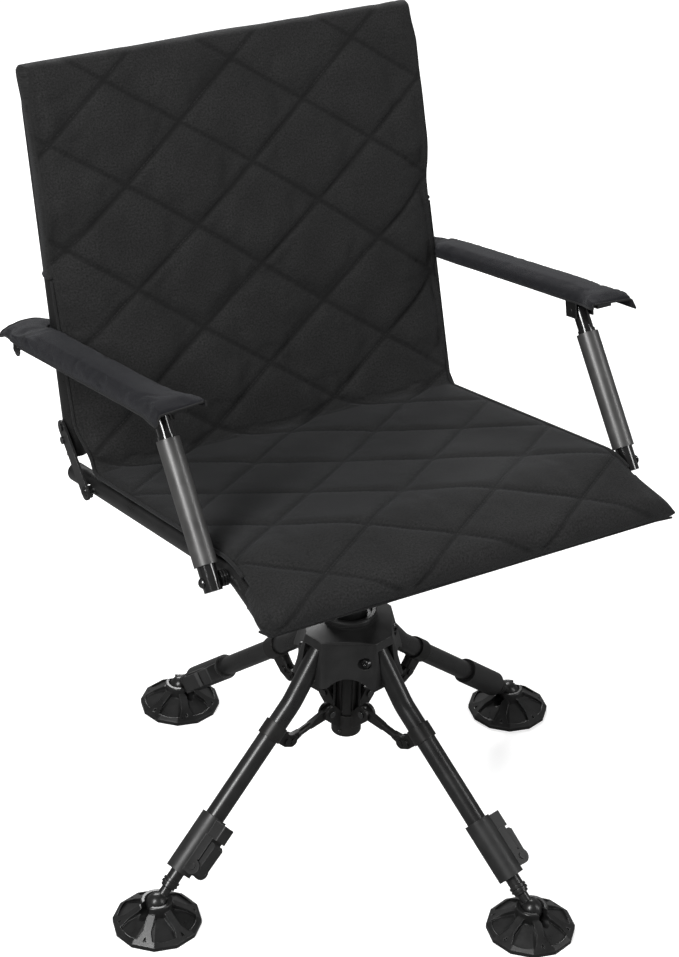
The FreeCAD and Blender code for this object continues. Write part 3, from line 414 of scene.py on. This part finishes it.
def cover_rows():
    """Where each row of the cover's mesh lies along the outline, its lattice
    number, and which rows face each other across the front and top tubes."""
    path, length = cover_outline()
    dip_way = np.array([-math.cos(DIP), -math.sin(DIP)])
    down = path @ dip_way
    front_tip = int(np.argmax(np.where(length < 200, down, -1e9)))
    crest = int(np.argmax(path[:, 1]))
    crease = int(np.argmax(np.where(path[:, 1] < 60, path[:, 0] - path[:, 1] * 0.6, -1e9)))
    seat = slice(front_tip, crease)
    back = slice(crease, crest)
    seat_lengths = np.interp([-s for s in SEAT_ROWS], path[seat, 0], length[seat])
    heights = [(BACK_ROW + BACK_STEP * k) / math.hypot(1, BACK_LEAN) for k in range(8)]
    back_lengths = np.interp(heights, path[back, 1], length[back])
    numbers = list(range(-7, 0)) + list(range(8))
    places = list(seat_lengths[::-1]) + list(back_lengths)
    lattice = np.linspace(-7, 7, 14 * FINE + 1)
    rows = np.interp(lattice, numbers, places)
    low_count = int((places[0] - length[front_tip]) / ROW_GAP)
    high_count = int((length[crest] - places[-1]) / ROW_GAP)
    low = np.linspace(length[front_tip], places[0], low_count, endpoint=False)
    high = np.linspace(places[-1], length[crest], high_count + 1)[1:]
    face = np.concatenate([low, rows, high])
    step_low = (places[1] - places[0])
    step_high = (places[-1] - places[-2])
    number = np.concatenate([-7 + (low - places[0]) / step_low, lattice,
                             7 + (high - places[-1]) / step_high])
    face_down = np.interp(face, length, down)
    face_z = np.interp(face, length, path[:, 1])
    sleeve = [i for i in range(1, len(face)) if face_down[i] > down[0] and face[i] < 200]
    pocket = [i for i in range(len(face) - 1) if face_z[i] > HEM_Z and face[i] > 400]
    under = np.interp(face_down[sleeve], down[:front_tip + 1], length[:front_tip + 1])
    rear = np.interp(-face_z[pocket], -path[crest:, 1], length[crest:])
    order = np.concatenate([under[::-1], face, rear[::-1]])
    numbers = np.concatenate([np.full(len(under), np.nan), number, np.full(len(rear), np.nan)])
    base = len(under)
    sleeve_pairs = [(base + i, base - 1 - n) for n, i in enumerate(sleeve)]
    total = base + len(face)
    pocket_pairs = [(base + i, total + len(rear) - 1 - n) for n, i in enumerate(pocket)]
    spine = np.stack([np.interp(order, length, path[:, 0]), np.interp(order, length, path[:, 1])], 1)
    return {"spine": spine, "length": order, "number": numbers, "face": (base, total),
            "sleeve": sleeve_pairs, "front_tip": base,
            "pocket": pocket_pairs, "crest": total - 1,
            "lattice": (base + len(low), base + len(low) + len(rows))}


def seam_distance(x, y, number):
    """Distance in mm to the nearest line of each family of stitches."""
    drift = 10.0 * np.exp(-((y - 280.0) / 110.0) ** 2)
    across = (x - drift) / QUILT_X
    rising = np.abs((across + number) % 2 - 1) * STEP
    falling = np.abs((across - number) % 2 - 1) * STEP
    return rising, falling


def round_edge(share):
    return math.sin(math.pi * share) ** 0.8


def flat_edge(share):
    return (1 - abs(2 * share - 1)) ** 0.8


def tall_part(z):
    """1 where the cover's edges wrap towards the back tubes, 0 elsewhere."""
    return smooth_step(14, 62, z) * (1 - smooth_step(402, 440, z))


def cover_sheet():
    """Outer face of the cover: one strip from hem to hem, with side rolls."""
    rows = cover_rows()
    columns = np.linspace(-EDGE_X, EDGE_X, 2 * QUILT_HALF * FINE + 1)
    wide = len(columns)
    spine = rows["spine"]
    count = len(spine)
    points = np.zeros((count, wide, 3))
    points[..., 0] = columns
    points[..., 1] = spine[:, None, 0]
    points[..., 2] = spine[:, None, 1]
    crown = 1 - (columns / EDGE_X) ** 2
    low, high = rows["face"]
    z = spine[low:high, 1]
    forward = 5.5 * np.exp(-((z - 280) / 100) ** 2) * (z > 40)
    points[low:high, :, 1] -= forward[:, None] * crown
    nose = smooth_step(330, 385, -spine[low:high, 0])
    points[low:high, :, 2] += nose[:, None] * (3.0 * crown + 1.0)
    ahead = -spine[low:high, 0]
    sag = 3.0 * smooth_step(40, 120, ahead) * (1 - smooth_step(260, 330, ahead))
    points[low:high, :, 2] -= sag[:, None] * crown
    hug = smooth_step(188, EDGE_X, np.abs(columns)) * tall_part(z)[:, None]
    points[low:high, :, 0] += HUG_X * np.sign(columns) * hug
    points[low:high, :, 1] += HUG_Y * hug * (1 - smooth_step(225, 300, z))[:, None]
    faces = []
    for r in range(count - 1):
        for c in range(wide - 1):
            a = r * wide + c
            faces.append((a, a + 1, a + wide + 1, a + wide))
    points = points.reshape(-1, 3)
    extra, extra_faces, extra_row = [], [], []
    base = len(points)

    def add_roll(pairs, tip_row, bulge, side, profile, rise=0.0):
        """Cloth that turns from the face to the rear at a side."""
        nonlocal base
        edge = 0 if side < 0 else wide - 1
        lines = []
        for place, (face_row, rear_row) in enumerate(pairs):
            start, end = points[face_row * wide + edge], points[rear_row * wide + edge]
            line = [face_row * wide + edge]
            for cell in range(1, ROLL_CELLS):
                share = cell / ROLL_CELLS
                out = bulge[place] * profile(share)
                mid = start + (end - start) * (1 - math.cos(math.pi * share)) / 2
                extra.append(mid + np.array([side * out, 0, rise * out]))
                extra_row.append(face_row)
                line.append(base)
                base += 1
            line.append(rear_row * wide + edge)
            lines.append(line)
        lines.append([tip_row * wide + edge] * (ROLL_CELLS + 1))
        for this, after in zip(lines, lines[1:]):
            for cell in range(ROLL_CELLS):
                ring = [this[cell], this[cell + 1], after[cell + 1], after[cell]]
                ring = list(dict.fromkeys(ring))
                extra_faces.append(tuple(ring))

    def closing(pairs, tip_row, size):
        """The roll closes towards the tip over the last few millimetres."""
        far = np.array([np.linalg.norm((spine[a] + spine[b]) / 2 - spine[tip_row]) for a, b in pairs])
        return np.sqrt(np.clip(1 - (1 - np.clip(far / size, 0, 1)) ** 2, 0, 1))

    sleeve = sorted(rows["sleeve"], key=lambda pair: -pair[0])
    pocket = rows["pocket"]
    hugging = tall_part(np.array([spine[a][1] for a, _ in pocket]))
    round_bulge = SIDE_ROLL + (HUG_ROLL - SIDE_ROLL) * hugging
    from_hem = np.array([np.linalg.norm(spine[a] - spine[sleeve[0][0]]) for a, _ in sleeve])
    taper = 0.35 + 0.65 * smooth_step(0, 42, from_hem)
    for side in (-1, 1):
        add_roll(pocket, rows["crest"], round_bulge * closing(pocket, rows["crest"], 6.0),
                 side, round_edge)
        out, up = FRONT_ROLL[side]
        add_roll(sleeve, rows["front_tip"], out * taper * closing(sleeve, rows["front_tip"], 2.0),
                 side, flat_edge, up / out)
    return rows, columns, points, faces, np.array(extra), extra_faces, np.array(extra_row)


def settle_faces(points, faces):
    """Turns every face the same way as its neighbours, facing outwards."""
    mesh = bpy.data.meshes.new("turned")
    mesh.from_pydata([tuple(p) for p in points], [], faces)
    shell = bmesh.new()
    shell.from_mesh(mesh)
    bmesh.ops.recalc_face_normals(shell, faces=shell.faces)
    shell.verts.index_update()
    turned = [tuple(v.index for v in face.verts) for face in shell.faces]
    shell.free()
    bpy.data.meshes.remove(mesh)
    return turned


def swell(points, faces, pinned, slack, pressure, cap):
    """Cloth simulation: the pinned points hold, the rest fills out.
    Gives each point's move in mm, no longer than the cap."""
    piece = make_mesh("swelling", np.asarray(points) * MM, faces, None)
    group = piece.vertex_groups.new(name="pins")
    group.add([int(i) for i in np.flatnonzero(pinned)], 1.0, "REPLACE")
    cloth = piece.modifiers.new("cloth", "CLOTH")
    cloth.settings.quality = 6
    cloth.settings.mass = 0.25
    cloth.settings.tension_stiffness = 12
    cloth.settings.compression_stiffness = 12
    cloth.settings.shear_stiffness = 4
    cloth.settings.bending_stiffness = 0.15
    cloth.settings.vertex_group_mass = "pins"
    cloth.settings.shrink_min = -slack
    cloth.settings.use_pressure = True
    cloth.settings.uniform_pressure_force = pressure
    cloth.settings.effector_weights.gravity = 0
    cloth.collision_settings.use_collision = False
    cloth.collision_settings.use_self_collision = False
    cloth.point_cache.frame_start = 1
    cloth.point_cache.frame_end = 20
    for number in range(1, 21):
        bpy.context.scene.frame_set(number)
    shape = piece.evaluated_get(bpy.context.evaluated_depsgraph_get()).to_mesh()
    moved = np.empty(len(shape.vertices) * 3, np.float32)
    shape.vertices.foreach_get("co", moved)
    bpy.context.scene.frame_set(1)
    move = moved.reshape(-1, 3) / MM - points
    bpy.data.objects.remove(piece)
    reach = np.linalg.norm(move, axis=1, keepdims=True)
    return move * np.minimum(1, cap / np.maximum(reach, 1e-6))


def swollen_quilt(rows, columns, points):
    """The padding's lift over the stitched rows, from a coarser cloth."""
    wide = len(columns)
    first, last = rows["lattice"]
    grid = points[:len(rows["spine"]) * wide].reshape(-1, wide, 3)[first:last:2, ::2]
    number = np.repeat(rows["number"][first:last:2, None], grid.shape[1], 1)
    tall, across = grid.shape[:2]
    rising, falling = seam_distance(grid[..., 0], grid[..., 2] * (grid[..., 2] > 30), number)
    pinned = (np.minimum(rising, falling) < 2.7)
    pinned[0] = pinned[-1] = True
    pinned[:, 0] = pinned[:, -1] = True
    faces = [(r * across + c, r * across + c + 1, (r + 1) * across + c + 1, (r + 1) * across + c)
             for r in range(tall - 1) for c in range(across - 1)]
    move = swell(grid.reshape(-1, 3), faces, pinned.ravel(), *QUILT_SWELL)
    move = move.reshape(tall, across, 3)
    lines = np.arange(last - first) / 2
    at = np.minimum(lines.astype(int), tall - 2)
    share = (lines - at)[:, None, None]
    move = move[at] * (1 - share) + move[at + 1] * share
    lines = np.arange(wide) / 2
    at = np.minimum(lines.astype(int), across - 2)
    share = (lines - at)[None, :, None]
    move = move[:, at] * (1 - share) + move[:, at + 1] * share
    padded = np.zeros((len(rows["spine"]), wide, 3))
    on_seat = rows["number"][first:last] < -0.5
    padded[first:last] = move * np.where(on_seat, SEAT_LIFT, 1.0)[:, None, None]
    return padded.reshape(-1, 3)


def cover_depth(points, plain):
    """The cover's thickness: padded between the tubes, single cloth elsewhere."""
    x, y, z = points.T
    padded = (1 - smooth_step(198, 212, np.abs(x))) * (1 - smooth_step(396, 416, z))
    padded *= 1 - smooth_step(345, 372, -y)
    return np.where(plain, PAD_THIN, PAD_THIN + (PAD_DEEP - PAD_THIN) * padded)


def quilted_cover():
    """The cover as one closed mesh, quilted on its face and plain behind.
    Gives the unpadded grid that the bindings follow."""
    rows, columns, points, faces, extra, extra_faces, extra_row = cover_sheet()
    wide = len(columns)
    strip = len(points)
    number = np.repeat(rows["number"], wide)
    x, y, z = points.T
    rising, falling = seam_distance(x, np.where(z > 30, z, 0), np.nan_to_num(number))
    edge = EDGE_X - np.abs(x)
    lift = PUFF * (1 - np.exp(-(rising / GROOVE) ** 1.4)) * (1 - np.exp(-(falling / GROOVE) ** 1.4))
    lift *= 1 - 0.9 * np.exp(-(edge / 5.0) ** 2)
    plain = np.isnan(number)
    lift[plain] = 0.6
    rising[plain] = STEP
    falling[plain] = STEP
    lift *= 1 + 0.15 * ripple(points, 42.0, 1.0)
    lift *= 1 - 0.75 * smooth_step(424, 438, z)
    every = np.vstack([points, extra])
    all_faces = settle_faces(every, faces + extra_faces)
    normal = face_normals(every, all_faces)
    probe = int((rows["face"][0] + 100) * wide + wide // 2)
    if normal[probe][2] < 0:
        all_faces = [tuple(reversed(face)) for face in all_faces]
        normal = -normal
    deep = cover_depth(every, np.concatenate([plain, np.full(len(extra), True)]))
    inner = every - normal * deep[:, None]
    outer = every.copy()
    wrinkle = 0.7 * ripple(every, 26.0, 2.0) * smooth_step(222, 236, np.abs(every[:, 0]))
    wrinkle[:strip] += np.where(plain, 0.8 * ripple(points, 60.0, 4.0), 0)
    outer[:strip] += normal[:strip] * lift[:, None]
    outer += normal * wrinkle[:, None]
    outer[:strip] += swollen_quilt(rows, columns, points)
    shell, shell_faces = thicken(outer, all_faces, inner)
    piece = make_mesh("quilted_cover", to_chair(shell), shell_faces, MATERIALS["quilted_cloth"])
    along = np.concatenate([np.repeat(rows["length"], wide), rows["length"][extra_row]])
    across = every[:, 0] + np.where(np.arange(len(every)) >= strip, every[:, 1] * 0.7, 0)
    weave = np.stack([across, along, np.zeros(len(every))], 1)
    near = np.concatenate([np.minimum(rising, falling), np.full(len(extra), STEP)])
    seam = np.stack([near, near, (across + along) * 0.7], 1)
    add_values(piece, "weave", np.vstack([weave, weave + 7.0]))
    add_values(piece, "seam", np.vstack([seam, seam]))
    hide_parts("seat_cushion", "back_cushion")
    bend_at_crease(piece)
    return rows, columns, every[:strip].reshape(-1, wide, 3)


def bend_at_crease(piece):
    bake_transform(piece)


def bindings(rows, columns, grid):
    """Rolled binding along the cover's sides and its two hems, and a piped
    seam along the nose of the front sleeve."""
    lines = []
    first, last = rows["face"]
    for side, column in ((-1, 0), (1, -1)):
        edge = grid[first:last, column]
        keep = (edge[:, 1] > -352) & (edge[:, 2] < HEM_Z + 2)
        lines.append(edge[keep] + np.array([side * 1.6, 0, -0.4]))
        face_row, rear_row = rows["pocket"][0]
        hem, rear = grid[face_row, column], grid[rear_row, column]
        turn = np.linspace(0, math.pi, 24)
        roll = [hem + (rear - hem) * (1 - math.cos(t)) / 2
                + np.array([side * HUG_ROLL * round_edge(t / math.pi), 0, 0]) for t in turn]
        lines.append(np.array(roll))
    lines.append(grid[0])
    lines.append(grid[-1])
    parts = [tube(line, BINDING_R) for line in lines]
    nose = grid[rows["front_tip"] - 2]
    ends = [nose[c] + np.array([side * FRONT_ROLL[side][0] * 0.9, 2.0, 2.0 + FRONT_ROLL[side][1] * 0.9])
            for side, c in ((-1, 0), (1, -1))]
    parts.append(tube(np.vstack([ends[:1], nose, ends[1:]]) + np.array([0, -0.6, -0.8]), PIPING_R))
    points, faces = merged(parts)
    piece = make_mesh("cover_binding", to_chair(points), faces, MATERIALS["binding"])
    add_values(piece, "weave", points)
    bend_at_crease(piece)


# ---- arm pads ------------------------------------------------------------
ARM_ROWS = 120
ARM_COLUMNS = 44
ARM_FRONT, ARM_REAR = -305.0, 112.0
ARM_SEAM = 36.0               # the rear flap is sewn on here
ARM_BODY = np.array([(236.8, 152.0), (236.0, 164.5), (277.0, 165.0), (277.6, 148.6)])
ARM_LIP = np.array([(226.0, 156.0), (226.5, 159.5), (276.0, 154.0), (281.0, 146.5)])
ARM_FLAP = np.array([(220.0, 153.5), (219.5, 159.5), (271.0, 159.5), (275.0, 151.5)])
ARM_GIRTH = 75.0              # the cloth's width, hem to hem
ARM_LIFT = 2.2                # the padding's crown along the top
ARM_PAD = 3.6                 # the padding's thickness under the cloth
ARM_CLOTH = 1.6
ARM_HEM_R = 1.1
ARM_SWELL = (0.010, 2.0, 1.6)


def arm_section(y):
    """The sleeve's outline across the arm at y, as (x, z): inner hem, over the
    top, outer hem. It lies flat at its front lip and in its rear flap."""
    spread = smooth_step(262.0, 304.0, -y)
    fall = 1 - math.sqrt(1 - min(max((-y - 286.0) / 20.0, 0.0), 1.0) ** 2)
    share = np.array([(spread, spread), (spread, fall), (spread, fall), (spread, spread)])
    flap = np.array([smooth_step(66.0, 86.0, y), smooth_step(ARM_SEAM, ARM_SEAM + 24.0, y)])
    outline = ARM_BODY + (ARM_LIP - ARM_BODY) * share + (ARM_FLAP - ARM_BODY) * flap
    outline[:, 1] -= 4.0 * smooth_step(94.0, ARM_REAR, y)
    flat = max(float(spread), float(flap[1]))
    return outline, [6.0 - 4.6 * flat, 8.0 - 5.5 * flat]


def squashed(piece, body):
    """The soft sleeve rides with its arm's body, on a mesh of its own."""
    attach(piece, body)
    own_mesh(piece)


def arm_pad(side, name):
    """One arm's padded sleeve, with its hems as a separate piece."""
    body = "armrest_l" if side > 0 else "armrest_r"
    lengthwise = np.linspace(ARM_FRONT, ARM_REAR, ARM_ROWS)
    sheet = np.zeros((ARM_ROWS, ARM_COLUMNS, 3))
    for r, y in enumerate(lengthwise):
        path = rounded(*arm_section(y), 0.8)
        far = np.concatenate([[0], np.cumsum(np.linalg.norm(np.diff(path, axis=0), axis=1))])
        at = np.linspace(0, far[-1], ARM_COLUMNS)
        sheet[r, :, 0] = np.interp(at, far, path[:, 0])
        sheet[r, :, 1] = y
        sheet[r, :, 2] = np.interp(at, far, path[:, 1])
    share = np.linspace(0, 1, ARM_COLUMNS)
    faces = [(r * ARM_COLUMNS + c, r * ARM_COLUMNS + c + 1,
              (r + 1) * ARM_COLUMNS + c + 1, (r + 1) * ARM_COLUMNS + c)
             for r in range(ARM_ROWS - 1) for c in range(ARM_COLUMNS - 1)]
    points = sheet.reshape(-1, 3)
    normal = face_normals(points, faces)
    if normal[ARM_COLUMNS * 40 + ARM_COLUMNS // 2][2] < 0:
        faces = [tuple(reversed(face)) for face in faces]
        normal = -normal
    y = points[:, 1]
    row_share = np.tile(share, ARM_ROWS)
    seam = np.abs(y - ARM_SEAM - 4.0 * np.sin(np.pi * row_share))
    front = y - ARM_FRONT
    border = np.minimum(np.minimum(row_share, 1 - row_share) * 60.0, np.minimum(front, seam))
    roof = np.exp(-((row_share - 0.42) / 0.22) ** 4)
    lift = ARM_LIFT * roof * (1 - np.exp(-(front / 14.0))) * (1 - 0.85 * np.exp(-(seam / 5.0) ** 2))
    lift += 0.28 * ripple(points, 22.0, 3.0 + side)
    outer = points + normal * lift[:, None]
    pinned = (border < 2.5) | (row_share > 0.93)
    outer += swell(points, faces, pinned, *ARM_SWELL)
    deep = ARM_CLOTH + ARM_PAD * roof * (1 - np.exp(-front / 6.0))
    shell, shell_faces = thicken(outer, faces, points - normal * deep[:, None])
    shell[:, 0] *= side
    if side < 0:
        shell_faces = [tuple(reversed(face)) for face in shell_faces]
    piece = make_mesh(name, to_chair(shell), shell_faces, MATERIALS["arm_cloth"])
    girth = row_share * ARM_GIRTH
    weave = np.stack([girth, y, np.zeros(len(y))], 1)
    near = np.minimum(seam, np.minimum(row_share, 1 - row_share) * ARM_GIRTH + 0.6)
    stitch = np.stack([near, near, (y + girth) * 0.8], 1)
    add_values(piece, "weave", np.vstack([weave, weave + 5.0]))
    add_values(piece, "seam", np.vstack([stitch, stitch]))
    squashed(piece, body)
    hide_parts("arm_pad_l" if side > 0 else "arm_pad_r")
    grid = outer.reshape(ARM_ROWS, ARM_COLUMNS, 3)
    hems = [grid[:, -1], grid[:, 0], grid[0], grid[-1]]
    parts = [tube(line, ARM_HEM_R) for line in hems]
    hem_points, hem_faces = merged(parts)
    hem_points[:, 0] *= side
    if side < 0:
        hem_faces = [tuple(reversed(face)) for face in hem_faces]
    hem = make_mesh(name + "_hem", to_chair(hem_points), hem_faces, MATERIALS["binding"])
    add_values(hem, "weave", hem_points)
    squashed(hem, body)


# ---- floor, light and camera ---------------------------------------------
FLOOR = 12.0


def floor():
    """A plain pale floor that runs out of sight."""
    corners = [(-FLOOR, -FLOOR, 0), (FLOOR, -FLOOR, 0), (FLOOR, FLOOR, 0), (-FLOOR, FLOOR, 0)]
    plane = make_mesh("floor", corners, [(0, 1, 2, 3)], None)
    material, tree, surface = blank_material("floor")
    speck = node(tree, "TexNoise", {"Scale": 6.0, "Detail": 3.0}).outputs["Fac"]
    tone = mix_colour(tree, ramp(tree, speck, 0.3, 0.7), grey(0.86), grey(0.90))
    tone = mix_colour(tree, by_ray(tree, 1.0, 0.0, 0.6), grey(0.16), tone)
    tree.links.new(tone, surface.inputs["Base Color"])
    surface.inputs["Roughness"].default_value = 0.8
    surface.inputs["Specular IOR Level"].default_value = 0.1
    surface.inputs["Emission Color"].default_value = (1.0, 1.0, 1.0, 1.0)
    tree.links.new(by_ray(tree, 0.45, 0.0, 0.0), surface.inputs["Emission Strength"])
    plane.data.materials.append(material)


def light(name, place, aim, size, power):
    lamp = bpy.data.lights.new(name, "AREA")
    lamp.shape = "RECTANGLE"
    lamp.size, lamp.size_y = size
    lamp.energy = power
    made = bpy.data.objects.new(name, lamp)
    bpy.context.scene.collection.objects.link(made)
    made.location = place
    made.rotation_mode = "QUATERNION"
    made.rotation_quaternion = (Vector(aim) - Vector(place)).to_track_quat("-Z", "Y")


def by_ray(tree, seen, mirrored, otherwise):
    """One value for the camera, one for reflections and one for soft light."""
    path = node(tree, "LightPath")
    soft = ramp(tree, path.outputs["Is Glossy Ray"], 0.0, 1.0, otherwise, mirrored)
    return ramp(tree, path.outputs["Is Camera Ray"], 0.0, 1.0, soft, seen)


def studio():
    """A white room to the camera, dimmer as a light, with three soft lamps."""
    world = bpy.data.worlds.new("studio")
    bpy.context.scene.world = world
    world.use_nodes = True
    tree = world.node_tree
    back = tree.nodes["Background"]
    back.inputs[0].default_value = (1.0, 1.0, 1.0, 1.0)
    tree.links.new(by_ray(tree, 1.0, 0.16, 0.42), back.inputs[1])
    light("key", (-1.9, -0.9, 2.3), (0, 0, 0.45), (0.7, 1.5), 78)
    light("fill", (1.9, -1.9, 1.5), (0, 0, 0.4), (0.5, 1.8), 26)
    light("rim", (0.8, 2.2, 1.9), (0, 0, 0.5), (1.4, 0.7), 50)
    bpy.context.scene.view_settings.view_transform = "Standard"


def camera():
    """The viewing point of a standing person in front and to one side."""
    place = Vector((-1.1065, -1.8431, 1.6984))
    aim = Vector((-0.0122, 0.0072, 0.4474))
    lens = bpy.data.cameras.new("camera")
    lens.sensor_width = 36.0
    lens.lens = 86.9
    made = bpy.data.objects.new("camera", lens)
    bpy.context.scene.collection.objects.link(made)
    made.location = place
    look = (aim - place).to_track_quat("-Z", "Y")
    roll = Euler((0, 0, math.radians(1.35))).to_quaternion()
    made.rotation_mode = "QUATERNION"
    made.rotation_quaternion = look @ roll
    bpy.context.scene.camera = made


dress_frame()
bindings(*quilted_cover())
arm_pad(1, "arm_cover_l")
arm_pad(-1, "arm_cover_r")
floor()
studio()
camera()
